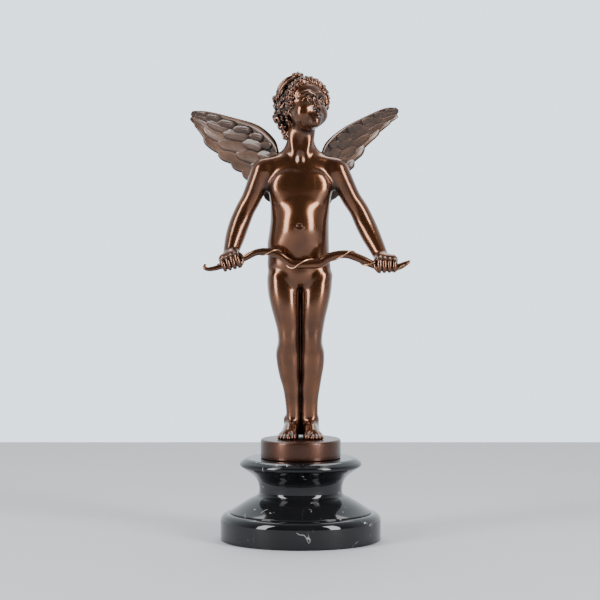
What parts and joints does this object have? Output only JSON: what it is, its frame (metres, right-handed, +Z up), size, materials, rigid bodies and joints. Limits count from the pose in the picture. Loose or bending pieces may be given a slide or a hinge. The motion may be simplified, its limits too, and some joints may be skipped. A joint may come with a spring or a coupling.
{
  "type": "cupid statuette",
  "caption": "Small bronze figure of a standing winged child holding a bow level in both hands, on a round foot disc and a waisted polished black marble plinth.",
  "frame": {"origin": "middle of the plinth's flat underside", "axes": "+Z up, -Y towards the viewer, whom the chest and feet face; the figure's head turns towards +X"},
  "size_m": [0.1639, 0.12, 0.3471],
  "materials": {
    "brown_bronze": "dark brown patina, waxed and polished",
    "black_marble": "polished black stone with fine pale veins"
  },
  "bodies": {
    "root": {"bronze_cupid": "brown_bronze", "marble_plinth": "black_marble"}
  },
  "joints": []
}
